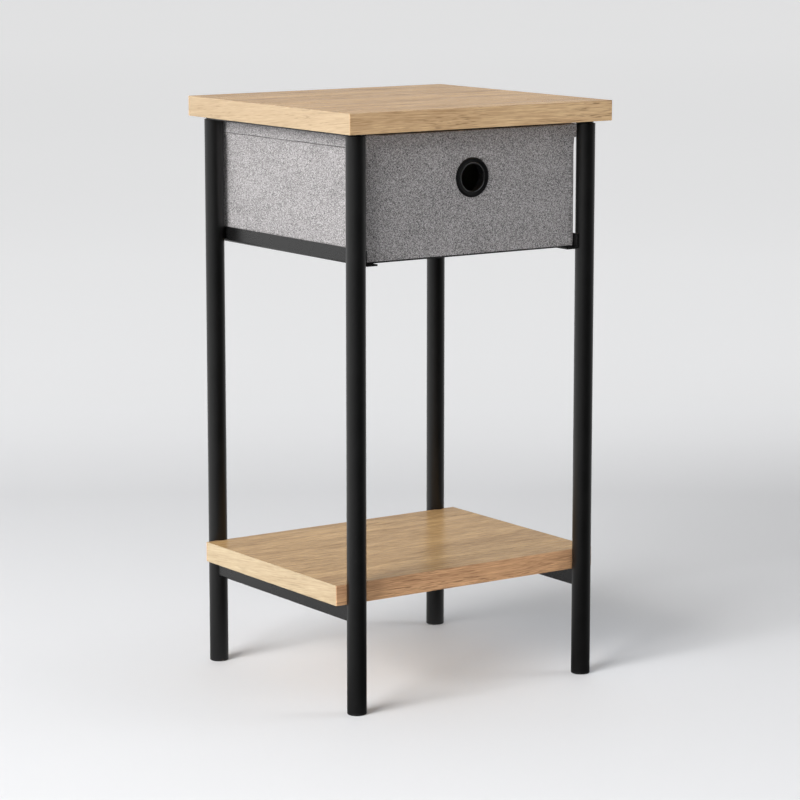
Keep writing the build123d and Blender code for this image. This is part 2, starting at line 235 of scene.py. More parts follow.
def moulded_plastic(name, black, roughness, grain_scale, ring_centre=None):
    """Black moulded plastic with a fine spark-eroded grain and lighter scuffs. A ring with its axis along Y
    also gets a painted highlight: a patchy grey line round its inner lip."""
    material, tree, shader = new_material(name)
    points = object_points(tree)
    grain = noise_value(tree, scaled(tree, points, (grain_scale,) * 3), detail=2.0, roughness=0.6)
    scuffs = noise_value(tree, scaled(tree, points, (120.0, 120.0, 600.0)), detail=3.0)
    scuffs = in_range(tree, scuffs, 0.58, 0.75)
    colour = mixed(tree, calc(tree, "MULTIPLY", scuffs, 0.3), grey(black), grey(3.0 * black))
    if ring_centre is not None:
        # Painted highlight: a grey line round the inner lip, broken up by noise.
        reach = combine(tree, "MULTIPLY", combine(tree, "SUBTRACT", points, ring_centre), (1.0, 0.0, 1.0))
        off_lip = calc(tree, "ABSOLUTE", calc(tree, "SUBTRACT", length(tree, reach), LIP_RADIUS))
        on_lip = in_range(tree, off_lip, LIP_WIDTH, 0.2 * LIP_WIDTH)
        highlight_breakup = noise_value(tree, scaled(tree, points, (110.0, 110.0, 110.0)), detail=2.0)
        painted_lip_highlight = calc(tree, "MULTIPLY", on_lip, in_range(tree, highlight_breakup, 0.3, 0.6))
        colour = mixed(tree, painted_lip_highlight, colour, grey(LIP_HIGHLIGHT_GREY))
    tree.links.new(colour, shader.inputs["Base Color"])
    rough = in_range(tree, grain, 0.3, 0.7, roughness - 0.05, roughness + 0.05)
    tree.links.new(calc(tree, "ADD", rough, calc(tree, "MULTIPLY", scuffs, 0.08)), shader.inputs["Roughness"])
    tree.links.new(bump(tree, grain, 0.02 * MM, 0.3), shader.inputs["Normal"])
    return material


def black_oxide(name):
    """Blackened screw steel, worn a little brighter where a driver has touched it."""
    material, tree, shader = new_material(name, Metallic=1.0)
    points = object_points(tree)
    cloud = noise_value(tree, scaled(tree, points, (500.0, 500.0, 500.0)), detail=4.0)
    colour = mixed(tree, in_range(tree, cloud, 0.45, 0.75), grey(0.02), grey(0.09))
    tree.links.new(colour, shader.inputs["Base Color"])
    tree.links.new(in_range(tree, cloud, 0.3, 0.7, 0.38, 0.55), shader.inputs["Roughness"])
    tree.links.new(bump(tree, cloud, 0.02 * MM, 0.4), shader.inputs["Normal"])
    return material


def cloth_plane(tree):
    """Place on the laid-out cloth, in metres."""
    return new_node(tree, "UVMap", uv_map="weave").outputs["UV"]


YARN_PITCH = 0.72 * MM           # one thread of the plain weave
SPECK_SHARE = 0.85               # how much of the tone belongs to single crossings


def heather_weave(name, light, dark):
    """Plain weave of mottled yarns: every crossing has its own tone, and each thread drifts along it."""
    material, tree, shader = new_material(name, Roughness=0.9, Sheen_Weight=0.25, Sheen_Roughness=0.5,
                                          Specular_IOR_Level=0.25)
    plane = cloth_plane(tree)
    split = new_node(tree, "SeparateXYZ", {0: dimmed(tree, plane, 1.0 / YARN_PITCH)})
    across, up = split.outputs[0], split.outputs[1]
    column, row = calc(tree, "FLOOR", across), calc(tree, "FLOOR", up)
    warp_over = calc(tree, "MODULO", calc(tree, "ABSOLUTE", calc(tree, "ADD", column, row)), 2.0)
    weft_over = calc(tree, "SUBTRACT", 1.0, warp_over)

    def on_top(warp, weft):
        """The value of whichever yarn lies on top."""
        return weighted_sum(tree, (warp, warp_over), (weft, weft_over))

    def yarn_tone(number, run, seed):
        """Tone that drifts along a yarn, unlike that of the yarns beside it."""
        place = {"X": calc(tree, "MULTIPLY", run, 0.5), "Y": calc(tree, "MULTIPLY", number, 7.3), "Z": seed}
        place = new_node(tree, "CombineXYZ", place).outputs[0]
        return in_range(tree, noise_value(tree, place, detail=2.0, roughness=0.7), 0.36, 0.64)

    def bulge(offset, amount):
        """Rises or falls with the square of the distance from a yarn's middle."""
        return calc(tree, "MULTIPLY", calc(tree, "POWER", calc(tree, "ABSOLUTE", offset), 2.0), amount)

    yarn = on_top(yarn_tone(column, up, 1.5), yarn_tone(row, across, 11.5))
    cell = new_node(tree, "CombineXYZ", {"X": column, "Y": row}).outputs[0]
    speck = new_node(tree, "TexWhiteNoise", {"Vector": cell}, noise_dimensions="2D").outputs["Value"]
    clouds = noise_value(tree, scaled(tree, plane, (28.0, 28.0, 1.0)), detail=2.0)
    tone = weighted_sum(tree, (speck, SPECK_SHARE), (yarn, 1.0 - SPECK_SHARE))
    tone = calc(tree, "ADD", tone, in_range(tree, clouds, 0.3, 0.7, -0.04, 0.04))
    tone = in_range(tree, tone, 0.05, 0.95)

    half_across = calc(tree, "SUBTRACT", calc(tree, "FRACT", across), 0.5)
    half_up = calc(tree, "SUBTRACT", calc(tree, "FRACT", up), 0.5)
    side, end = on_top(half_across, half_up), on_top(half_up, half_across)
    form = calc(tree, "ADD", bulge(side, -2.6), bulge(end, -1.6))
    height = calc(tree, "ADD", form, calc(tree, "MULTIPLY", yarn, 0.5))

    colour = mixed(tree, tone, (*dark, 1.0), (*light, 1.0))
    # Painted shade: the weave is darker where the yarns fall away between crossings.
    shade = in_range(tree, height, -0.8, 0.2, 0.72, 1.04)
    tree.links.new(dimmed(tree, colour, shade), shader.inputs["Base Color"])
    tree.links.new(bump(tree, height, 0.16 * MM, 0.7), shader.inputs["Normal"])
    return material


def non_woven(name, light, dark):
    """Spun-bonded lining: matted fibres with a grid of small pressed dots."""
    material, tree, shader = new_material(name, Roughness=0.85, Sheen_Weight=0.1)
    plane = cloth_plane(tree)
    fibres = noise_value(tree, scaled(tree, plane, (900.0, 900.0, 1.0)), detail=4.0, roughness=0.75)
    clouds = noise_value(tree, scaled(tree, plane, (45.0, 45.0, 1.0)), detail=2.0)
    grid = {"Vector": scaled(tree, plane, (620.0, 620.0, 1.0)), "Randomness": 0.12}
    dots = new_node(tree, "TexVoronoi", grid, voronoi_dimensions="2D").outputs["Distance"]
    pressed = in_range(tree, dots, 0.18, 0.30)
    tone = weighted_sum(tree, (fibres, 0.7), (clouds, 0.3))
    colour = mixed(tree, in_range(tree, tone, 0.36, 0.64), (*dark, 1.0), (*light, 1.0))
    darker = tuple(0.8 * value for value in dark)
    colour = mixed(tree, calc(tree, "SUBTRACT", 1.0, pressed), colour, (*darker, 1.0))
    tree.links.new(colour, shader.inputs["Base Color"])
    height = calc(tree, "ADD", pressed, calc(tree, "MULTIPLY", fibres, 0.4))
    tree.links.new(bump(tree, height, 0.1 * MM, 0.6), shader.inputs["Normal"])
    return material


def hardboard(name):
    """Pressed brown fibre board."""
    material, tree, shader = new_material(name, Roughness=0.8)
    points = object_points(tree)
    chips = noise_value(tree, scaled(tree, points, (420.0, 420.0, 420.0)), detail=4.0, roughness=0.7)
    colour = mixed(tree, in_range(tree, chips, 0.35, 0.65), (0.20, 0.13, 0.07, 1.0), (0.36, 0.25, 0.15, 1.0))
    tree.links.new(colour, shader.inputs["Base Color"])
    tree.links.new(bump(tree, chips, 0.1 * MM, 0.5), shader.inputs["Normal"])
    return material


ALONG_X = (0.0, 0.0, 0.0)        # rotations that bring the grain's direction to X
ALONG_Y = (math.radians(6.0), 0.0, math.radians(90.0))
# What each wooden surface takes: material name, grain direction, pale and dark colours, contrast, share of
# dark flecks, roughness, spacing of the grain's lines. All are one laminate; its colours are set surface by
# surface partly as painted light and shade (greyer on the side edges, warmer on the top face than on the
# shelf) and partly as each strip's own tone.
OAK_LOOKS = {
    "top_board": ("oak_top_face", ALONG_X, (0.66, 0.394, 0.145), (0.335, 0.178, 0.058),
                  1.5, 0.6, 0.27, 3.6 * MM),
    "shelf_board": ("oak_shelf_face", ALONG_X, (0.582, 0.376, 0.178), (0.296, 0.170, 0.072),
                    1.5, 0.6, 0.27, 3.6 * MM),
    "top_edge_x": ("oak_top_front", ALONG_X, (0.63, 0.447, 0.258), (0.30, 0.18, 0.092),
                   1.2, 0.75, 0.42, 1.4 * MM),
    "shelf_edge_x": ("oak_shelf_front", ALONG_X, (0.665, 0.40, 0.215), (0.285, 0.148, 0.078),
                     1.3, 0.65, 0.42, 1.2 * MM),
    "top_edge_y": ("oak_top_side", ALONG_Y, (0.42, 0.325, 0.216), (0.25, 0.18, 0.11),
                   0.85, 0.35, 0.42, 1.5 * MM),
    "shelf_edge_y": ("oak_shelf_side", ALONG_Y, (0.482, 0.393, 0.263), (0.29, 0.213, 0.133),
                     0.85, 0.35, 0.42, 1.5 * MM),
}
WEAVE_LIGHT, WEAVE_DARK = (0.405, 0.388, 0.388), (0.045, 0.043, 0.043)

grommet_low, grommet_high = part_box("grommet_front")
grommet_centre = (grommet_low + grommet_high) / 2

materials = {surface: oak(*look) for surface, look in OAK_LOOKS.items()}
materials.update({
    "steel_tube": powder_coat("powder_coat_tube", 0.004, 0.34),
    "steel_section": powder_coat("powder_coat_section", 0.005, 0.28),
    "foot_plug": moulded_plastic("plug_plastic", 0.010, 0.50, 1800.0),
    "screw": black_oxide("screw_black"),
    "drawer_fabric": heather_weave("heather_weave", WEAVE_LIGHT, WEAVE_DARK),
    "drawer_hem": heather_weave("heather_weave_hem", WEAVE_LIGHT, WEAVE_DARK),
    "drawer_lining": non_woven("lining_fibre", (0.33, 0.33, 0.325), (0.22, 0.22, 0.215)),
    # near-black sheet under the drawer: painted shade along its lower edge
    "bottom_sheet": non_woven("bottom_fibre", (0.008, 0.008, 0.008), (0.004, 0.004, 0.004)),
    # dark thread, also painted shade in the groove under the hem
    "thread": non_woven("thread_fibre", (0.06, 0.06, 0.06), (0.03, 0.03, 0.03)),
    "stiffener": hardboard("hardboard"),
    "grommet": moulded_plastic("grommet_plastic", 0.003, 0.18, 2400.0, grommet_centre),
})


# ---------------------------------------------------------------- CAD nodes that stay

STRIP_EDGE = 0.2 * MM            # broken edges of the boards' edge strips
STEEL_EDGE = 0.25 * MM           # and of the steel bars and rails


def paint(piece, material):
    piece.data.materials.clear()
    piece.data.materials.append(material)


def soften_edges(piece, width):
    """Breaks the sharp edges of a CAD node with a small bevel modifier."""
    weld = piece.modifiers.new("weld", "WELD")
    weld.merge_threshold = 0.002 * MM
    bevel = piece.modifiers.new("bevel", "BEVEL")
    bevel.width = width
    bevel.segments = 2
    bevel.limit_method = "ANGLE"
    bevel.angle_limit = math.radians(40.0)
    bevel.harden_normals = True


node_slots = {}                  # material slot of each CAD node, from the record
for entry in frame["record"]["materials"]:
    for node_name, node_object in nodes.items():
        held = node_object.material_slots[0].material
        if held is not None and held.name.split(".")[0] == entry["slot"]:
            node_slots[node_name] = entry["slot"]

for node_name, slot_name in node_slots.items():
    piece = nodes[node_name]
    if slot_name == "edge_strip":
        board_name = node_name.split("_")[0]
        direction = "x" if node_name.endswith(("front", "back")) else "y"
        paint(piece, materials[f"{board_name}_edge_{direction}"])
        soften_edges(piece, STRIP_EDGE)
    else:
        paint(piece, materials[node_name if slot_name == "board" else slot_name])
    if slot_name == "steel_section":
        soften_edges(piece, STEEL_EDGE)


# ---------------------------------------------------------------- drawer

cover_low, cover_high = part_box("drawer_cover")
hem_low, hem_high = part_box("drawer_hem")
lining_low, lining_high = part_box("drawer_lining")
base_low, base_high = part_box("drawer_base_board")

CORNER = 2.4 * MM                # outer corner of the drawer in plan
COVER_THICKNESS = 0.8 * MM
LINING_THICKNESS = 0.7 * MM
LINING_INSET = 0.8 * MM          # how far the lining's outer surface lies inside its CAD solid's
WALL = cover_high.x - lining_high.x + LINING_INSET      # from the cover's outer surface to the lining's
STEP = 4.0 * MM                  # spacing of the points along straight runs of cloth
CORNER_TURNS = 6                 # steps round an upright corner
ROLL_TURNS = 5                   # steps round a lower edge


def plan_middle(low, high):
    """Middle of a box seen from above."""
    return Vector((0.0, (low.y + high.y) / 2))


def rounded_path(low, high, corner, step=STEP):
    """Points round a rounded rectangle: place, outward normal, distance run, share of its side.
    The share is nothing at the corners."""
    corners = [(high.x, low.y, -90.0), (high.x, high.y, 0.0), (low.x, high.y, 90.0), (low.x, low.y, 180.0)]

    def arc_centre(x, y):
        return Vector((x - math.copysign(corner, x), y - math.copysign(corner, y - (low.y + high.y) / 2)))

    path, run = [], 0.0
    for index, (x, y, start) in enumerate(corners):
        for turn in range(CORNER_TURNS + 1):
            angle = math.radians(start + 90.0 * turn / CORNER_TURNS)
            normal = Vector((math.cos(angle), math.sin(angle)))
            path.append([arc_centre(x, y) + corner * normal, normal, 0.0, 0.0])
        x_next, y_next, _ = corners[(index + 1) % 4]
        first, last = path[-1][0], arc_centre(x_next, y_next) + corner * normal
        pieces = max(2, round((last - first).length / step))
        for part in range(1, pieces):
            path.append([first.lerp(last, part / pieces), normal, 0.0, part / pieces])
    for index in range(1, len(path)):
        run += (path[index][0] - path[index - 1][0]).length
        path[index][2] = run
    return path


def new_piece(name, mesh):
    """An object made of the built mesh, which is used up."""
    data = bpy.data.meshes.new(name)
    mesh.to_mesh(data)
    mesh.free()
    piece = bpy.data.objects.new(name, data)
    scene.collection.objects.link(piece)
    return piece


def ring_mesh(name, rings, lengths, closed_section=False, cap=None):
    """Mesh from rings of points, all with as many points. UVs are metres: round the ring, then up it.
    Lengths are the distances run round the ring. Cap is a point that closes the first ring."""
    mesh = bmesh.new()
    uv = mesh.loops.layers.uv.new("weave")
    rows = [[mesh.verts.new(point) for point in ring] for ring in rings]
    heights = [0.0]
    for lower, upper in zip(rings, rings[1:]):
        heights.append(heights[-1] + (Vector(upper[0]) - Vector(lower[0])).length)
    heights.append(heights[-1] + (Vector(rings[0][0]) - Vector(rings[-1][0])).length)
    count = len(rings[0])
    around = lengths[-1] + (Vector(rings[0][0]) - Vector(rings[0][-1])).length
    pairs = len(rows) if closed_section else len(rows) - 1
    for r in range(pairs):
        lower, upper = rows[r], rows[(r + 1) % len(rows)]
        for c in range(count):
            d = (c + 1) % count
            face = mesh.faces.new((lower[c], lower[d], upper[d], upper[c]))
            right = lengths[d] if d else around
            corners = ((lengths[c], heights[r]), (right, heights[r]),
                       (right, heights[r + 1]), (lengths[c], heights[r + 1]))
            for loop, place in zip(face.loops, corners):
                loop[uv].uv = place
            face.smooth = True
    if cap is not None:
        centre = mesh.verts.new(cap)
        for c in range(count):
            face = mesh.faces.new((rows[0][(c + 1) % count], rows[0][c], centre))
            face.smooth = True
            for loop in face.loops:
                loop[uv].uv = loop.vert.co.xy
    return new_piece(name, mesh)


def flat_uvs(piece, is_flat):
    """Lays the weave of the faces that is_flat picks out square to X and Y."""
    layer = piece.data.uv_layers["weave"].data
    for face in piece.data.polygons:
        if is_flat(face):
            for loop in face.loop_indices:
                layer[loop].uv = piece.data.vertices[piece.data.loops[loop].vertex_index].co.xy


def thicken(piece, thickness):
    """Gives a sheet its thickness, behind its outer surface."""
    solid = piece.modifiers.new("thickness", "SOLIDIFY")
    solid.thickness = thickness
    solid.offset = -1.0


def merge_points(piece):
    """Joins the points that a tight inner corner brings together."""
    mesh = bmesh.new()
    mesh.from_mesh(piece.data)
    bmesh.ops.remove_doubles(mesh, verts=mesh.verts, dist=0.01 * MM)
    mesh.to_mesh(piece.data)
    mesh.free()


def finish_piece(piece, look, stands_for=()):
    """Material, body and the CAD nodes that a new piece stands for."""
    paint(piece, materials[look])
    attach(piece, "drawer")
    if stands_for:
        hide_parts(*stands_for)
    return piece


HOLE_CUT = 17.0 * MM             # half-way under the grommet's flange
HOLE_EDGE = 15.8 * MM            # radius of the finished hole
WALL_REACH = 2.0 * MM            # how near to the wall a face or point counts as part of it


def cut_grommet_hole(piece, wall_y):
    """Takes the faces behind the grommet out of a front wall and gathers the cut to a round edge."""
    mesh = bmesh.new()
    mesh.from_mesh(piece.data)

    def reach(point):
        return math.hypot(point.x - grommet_centre.x, point.z - grommet_centre.z)

    inside = [face for face in mesh.faces
              if abs(face.calc_center_median().y - wall_y) < WALL_REACH
              and reach(face.calc_center_median()) < HOLE_CUT]
    bmesh.ops.delete(mesh, geom=inside, context="FACES")
    for vert in mesh.verts:
        near = abs(vert.co.y - wall_y) < WALL_REACH and reach(vert.co) < 1.4 * HOLE_CUT
        if near and vert.is_boundary:
            share = HOLE_EDGE / reach(vert.co)
            vert.co.x = grommet_centre.x + (vert.co.x - grommet_centre.x) * share
            vert.co.z = grommet_centre.z + (vert.co.z - grommet_centre.z) * share
    mesh.to_mesh(piece.data)
    mesh.free()


def swell(share, up, amount):
    """How far a taut panel stands out between its stiff corners."""
    return amount * math.sin(math.pi * share) ** 0.6 * math.sin(math.pi * up) ** 0.8


def ripple(x, y, z, size, amount, seed):
    """Small seeded unevenness of hand-wrapped cloth."""
    return amount * noise.noise(Vector((x, y, z)) / size + Vector((seed, 0.0, 0.0)))


def front_share(normal):
    """One on the front wall, nothing on the sides and the back."""
    return max(0.0, min(1.0, (-normal.y - 0.3) / 0.6))


FLAT_SHARES = (0.12, 0.3, 0.5, 0.68, 0.82, 0.92)        # rings of a flat sheet, from its middle outwards


def tray(name, path, middle, floor_z, roll, levels, out_at):
    """Flat bottom, rolled lower edge, then wall rings at the levels, each point moved out by out_at."""
    rings = []
    for share in FLAT_SHARES:
        ring = []
        for place, normal, _, _ in path:
            point = middle + (place - roll * normal - middle) * share
            ring.append((point.x, point.y, floor_z))
        rings.append(ring)
    for turn in range(ROLL_TURNS + 1):
        angle = math.radians(90.0 * turn / ROLL_TURNS)
        inset = roll * (1.0 - math.sin(angle))
        z = floor_z + roll * (1.0 - math.cos(angle))
        rings.append([(place.x - inset * normal.x, place.y - inset * normal.y, z)
                      for place, normal, _, _ in path])
    for z in levels:
        ring = []
        for place, normal, _, share in path:
            out = out_at(place, normal, share, z)
            ring.append((place.x + out * normal.x, place.y + out * normal.y, z))
        rings.append(ring)
    piece = ring_mesh(name, rings, [entry[2] for entry in path], cap=(middle.x, middle.y, floor_z))
    flat_uvs(piece, lambda face: face.center.z < floor_z + 0.3 * MM)
    return piece


def spaced(first, last, step=STEP):
    """Even levels from first to last. Last is one of them, first isn't."""
    count = max(1, round((last - first) / step))
    return [first + (last - first) * (index + 1) / count for index in range(count)]


COVER_ROLL = 1.2 * MM            # radius of the lower edge
COVER_FLOOR = cover_low.z + 0.4 * MM
COVER_TOP = hem_high.z - 2.5 * MM
COVER_SWELL = 0.35 * MM
COVER_RIPPLES = [(45.0 * MM, 0.16 * MM, 3.0), (12.0 * MM, 0.05 * MM, 8.0)]      # size, amount, seed
HEM_HOLD = 0.2                   # share of both that is left under the hem
GROOVE = hem_low.z - 0.9 * MM    # where the side panels stop short of the hem
GROOVE_LIP = 0.9 * MM            # how far their top edge stands out there
PADDING_DEPTH = 14.0 * MM        # height over which they swell out to it


def fabric_cover():
    """Outer cover: bottom, rolled lower edge and the four walls up into the hem."""
    foot = COVER_FLOOR + COVER_ROLL

    def out_at(place, normal, share, z):
        out = swell(share, (z - foot) / (COVER_TOP - foot), COVER_SWELL)
        for form in COVER_RIPPLES:
            out += ripple(place.x, place.y, z, *form)
        padding = max(0.0, 1.0 - (GROOVE - z) / PADDING_DEPTH) ** 2 if z <= GROOVE else 0.0
        hold = 1.0 if z <= GROOVE else HEM_HOLD
        return out * hold + GROOVE_LIP * padding * (1.0 - front_share(normal))

    levels = spaced(foot, GROOVE - PADDING_DEPTH)
    levels += spaced(GROOVE - PADDING_DEPTH, GROOVE - 0.8 * MM, 2.2 * MM)
    levels += [GROOVE - 0.3 * MM, GROOVE, GROOVE + 0.12 * MM, GROOVE + 0.5 * MM]
    levels += spaced(GROOVE + 0.5 * MM, COVER_TOP)
    path, middle = rounded_path(cover_low, cover_high, CORNER), plan_middle(cover_low, cover_high)
    piece = tray("fabric_cover", path, middle, COVER_FLOOR, COVER_ROLL, levels, out_at)
    cut_grommet_hole(piece, cover_low.y)
    thicken(piece, COVER_THICKNESS)
    return finish_piece(piece, "drawer_fabric", ["drawer_cover"])


SHEET_THICKNESS = 0.25 * MM
SHEET_LEVELS = [0.5 * MM, 1.0 * MM, 1.5 * MM]           # heights of its turned-up rim


def bottom_sheet():
    """Near-black non-woven sheet under the drawer, its rim turned a little way up the walls: painted shade
    along the drawer's lower edge.
    """
    floor_z = cover_low.z + 0.05 * MM
    levels = [floor_z + height for height in SHEET_LEVELS]
    path, middle = rounded_path(cover_low, cover_high, CORNER), plan_middle(cover_low, cover_high)
    piece = tray("bottom_sheet", path, middle, floor_z, SHEET_THICKNESS, levels,
                 lambda place, normal, share, z: SHEET_THICKNESS)
    thicken(piece, SHEET_THICKNESS)
    return finish_piece(piece, "bottom_sheet")


HEM_PROUD = hem_high.x - cover_high.x
HEM_LAYER = 0.8 * MM             # how far its inner face lies inside the lining's outer surface
HEM_INSIDE = -(WALL + HEM_LAYER)
HEM_TUCK = -0.5 * MM             # where its hidden face lies, just inside the cover's outer surface
HEM_BULK = 2.2 * MM              # extra layers folded in at each corner
HEM_LIFT = 0.9 * MM              # how much higher the rim stands along the sides
LIFT_WIDTH = 18.0 * MM           # over which that rise fades out on the front and back
# The hem's section in mm. Outside: share of its standing out, height over its lower edge
HEM_OUTSIDE = [(0.8, 0.0), (0.95, 0.2), (0.97, 1.2), (0.93, 2.0), (0.93, 2.6), (1.0, 5.0), (1.0, 8.0),
               (0.98, 11.7), (0.85, 12.7), (0.45, 13.3)]
# Over the rim and inside: distance out from its inner face, then height over the rim or the lower edge
HEM_OVER = [(2.2, 0.0), (0.7, -0.35), (0.1, -1.1), (0.0, -2.5)]
HEM_WITHIN = [(0.0, 3.0), (0.15, 1.0), (0.6, 0.3), (1.0, 1.0)]


def hem_out(normal):
    """How far the hem stands out of the walls: bulky at the corners, pressed almost flat on the front."""
    corner_bulk = 4.0 * (normal.x * normal.y) ** 2
    return HEM_PROUD * (1.0 - 0.65 * front_share(normal)) + HEM_BULK * corner_bulk


def fabric_hem():
    """Folded band round the rim: outside, over the top and down the inside."""
    path = rounded_path(cover_low, cover_high, CORNER)
    low, high = hem_low.z, hem_high.z
    section = [(0.0, HEM_TUCK, low + 1.6 * MM), (0.0, HEM_TUCK, low + 0.5 * MM)]
    section += [(0.0, 0.25 * MM, low + 0.15 * MM)]
    section += [(share, 0.0, low + height * MM) for share, height in HEM_OUTSIDE]
    section += [(0.0, -1.2 * MM, high)]
    section += [(0.0, HEM_INSIDE + inset * MM, high + drop * MM) for inset, drop in HEM_OVER]
    section += [(0.0, HEM_INSIDE + inset * MM, low + height * MM) for inset, height in HEM_WITHIN]
    section += [(0.0, HEM_INSIDE + 1.0 * MM, high - 1.6 * MM), (0.0, HEM_TUCK, high - 1.6 * MM)]
    rings = []
    for share, offset, z in section:
        ring = []
        for place, normal, _, _ in path:
            out = offset + share * hem_out(normal)
            out += share * min(0.0, ripple(place.x, place.y, z, 30.0 * MM, 0.2 * MM, 21.0))
            if z < low + 4.0 * MM:
                lift = ripple(place.x, place.y, 0.0, 50.0 * MM, 0.25 * MM, 30.0)
            elif z > high - 3.0 * MM:
                lift = HEM_LIFT * max(0.0, 1.0 - (cover_high.x - abs(place.x)) / LIFT_WIDTH)
            else:
                lift = 0.0
            x, y = place.x + out * normal.x, place.y + out * normal.y
            if out < 0.0:
                x = max(cover_low.x - out, min(cover_high.x + out, x))
                y = max(cover_low.y - out, min(cover_high.y + out, y))
            ring.append((x, y, z + lift))
        rings.append(ring)
    piece = ring_mesh("fabric_hem", rings, [entry[2] for entry in path], closed_section=True)
    merge_points(piece)
    return finish_piece(piece, "drawer_hem", ["drawer_hem"])


STITCH_PITCH = 3.2 * MM
STITCH_LENGTH = 2.9 * MM
STITCH_RADIUS = 0.3 * MM
STITCH_SIDES = 6
# Ends and middle of a stitch: place along its half length, thickness there
STITCH_FORM = [(-1.0, 0.25), (-0.75, 0.85), (0.0, 1.0), (0.75, 0.85), (1.0, 0.25)]


def hem_stitches():
    """Dark stitches that hold the hem down: in the groove under it outside, on the sides and the back, where
    their dark thread also paints the groove's shade, and near its edge inside.
    """
    randomness = random.Random(5)
    path = rounded_path(cover_low, cover_high, CORNER, step=STITCH_PITCH)
    mesh = bmesh.new()
    for outer in (True, False):
        for place, normal, _, share in path:
            # The outer row is left off the front; on the sides and the back its dark thread is painted shade
            # along the groove under the hem.
            if share == 0.0 or (outer and normal.y < -0.5):
                continue
            out = 0.45 * MM if outer else HEM_INSIDE + 0.02 * MM
            height = hem_low.z + (-0.35 if outer else 2.45) * MM
            outward, run = Vector((normal.x, normal.y, 0.0)), Vector((-normal.y, normal.x, 0.0))
            centre = Vector((place.x + out * normal.x, place.y + out * normal.y, height))
            centre.z += randomness.uniform(-0.08, 0.08) * MM
            reach = STITCH_LENGTH / 2 * randomness.uniform(0.92, 1.05)
            rings = []
            for end, size in STITCH_FORM:
                middle = centre + reach * end * run
                ring = []
                for k in range(STITCH_SIDES):
                    angle = math.radians(360.0 / STITCH_SIDES * k)
                    side = outward * math.cos(angle) + Vector((0.0, 0.0, math.sin(angle)))
                    ring.append(mesh.verts.new(middle + STITCH_RADIUS * size * side))
                rings.append(ring)
            for first, second in zip(rings, rings[1:]):
                for k in range(STITCH_SIDES):
                    after = (k + 1) % STITCH_SIDES
                    mesh.faces.new((first[k], second[k], second[after], first[after]))
            mesh.faces.new(list(rings[0]))
            mesh.faces.new(list(reversed(rings[-1])))
    bmesh.ops.recalc_face_normals(mesh, faces=mesh.faces)
    for face in mesh.faces:
        face.smooth = True
    uv = mesh.loops.layers.uv.new("weave")
    for face in mesh.faces:
        for loop in face.loops:
            loop[uv].uv = (loop.vert.co.x + loop.vert.co.y, loop.vert.co.z)
    return finish_piece(new_piece("hem_stitches", mesh), "thread")


LINING_TOP = hem_low.z + 3.0 * MM
LINING_ROLL = 0.3 * MM           # radius of its lower edge


def inner_lining():
    """Lining of the walls and the bottom, under the base board."""
    floor_z = base_low.z + 0.05 * MM
    path = rounded_path(lining_low, lining_high, 1.5 * MM)
    path = [(place - LINING_INSET * normal, normal, run, share) for place, normal, run, share in path]

    def out_at(place, normal, share, z):
        slack = 0.25 * MM + ripple(place.x, place.y, z, 40.0 * MM, 0.3 * MM, 40.0)
        return -max(0.0, slack) if z > base_high.z + 2.0 * MM else 0.0

    levels = spaced(floor_z + LINING_ROLL, LINING_TOP)
    piece = tray("lining", path, plan_middle(lining_low, lining_high), floor_z, LINING_ROLL, levels, out_at)
    cut_grommet_hole(piece, lining_low.y + LINING_INSET)
    thicken(piece, LINING_THICKNESS)
    return finish_piece(piece, "drawer_lining", ["drawer_lining"])


CROWN_INSET = 1.4 * MM           # where the base panel's rounded edge meets its top
CROWN_SHARES = (0.96, 0.85, 0.7, 0.5, 0.3, 0.12)        # rings of its top, from the edge inwards


def base_panel():
    """Loose base board wrapped in lining: soft edges, and faint unevenness where the cloth isn't glued."""
    path, middle = rounded_path(base_low, base_high, 3.0 * MM), plan_middle(base_low, base_high)
    low, high = base_low.z + 0.9 * MM, base_high.z
    section = [(3.0 * MM, low), (0.6 * MM, low), (0.1 * MM, low + 0.5 * MM), (0.0, (low + high) / 2),
               (0.1 * MM, high - 0.7 * MM), (0.5 * MM, high - 0.25 * MM), (CROWN_INSET, high - 0.05 * MM)]
    rings = []
    for inset, z in section:
        rings.append([(place.x - inset * normal.x, place.y - inset * normal.y, z)
                      for place, normal, _, _ in path])
    for share in CROWN_SHARES:
        ring = []
        for place, normal, _, _ in path:
            point = middle + (place - CROWN_INSET * normal - middle) * share
            ring.append((point.x, point.y, high + ripple(point.x, point.y, 0.0, 60.0 * MM, 0.25 * MM, 50.0)))
        rings.append(ring)
    piece = ring_mesh("base_panel", rings, [entry[2] for entry in path], cap=(middle.x, middle.y, low))
    mesh = bmesh.new()
    mesh.from_mesh(piece.data)
    rim = [edge for edge in mesh.edges if edge.is_boundary]
    bmesh.ops.holes_fill(mesh, edges=rim, sides=0)
    bmesh.ops.recalc_face_normals(mesh, faces=mesh.faces)
    mesh.to_mesh(piece.data)
    mesh.free()
    flat_uvs(piece, lambda face: abs(face.normal.z) > 0.7)
    return finish_piece(piece, "drawer_lining", ["drawer_base_board"])


RING_SEGMENTS = 96
FLANGE_DEPTH = 2.0 * MM          # how far the flange stands in front of the fabric
# Section of the grommet in mm: radius, then distance in front of the fabric (minus) or into it
GROMMET_SECTION = [
    (15.2, 7.8), (14.5, 7.8), (13.95, 7.4), (13.8, 6.8), (13.8, -0.5), (13.9, -1.15), (14.2, -1.6),
    (14.7, -1.85), (15.2, -1.75), (15.5, -1.35), (15.7, -1.05), (16.05, -0.95), (16.5, -1.15),
    (17.2, -1.65), (18.1, -1.97), (19.0, -1.9), (19.8, -1.5), (20.3, -0.9), (20.5, -0.3), (20.45, 0.1),
    (19.9, 0.2), (15.2, 0.2),
]


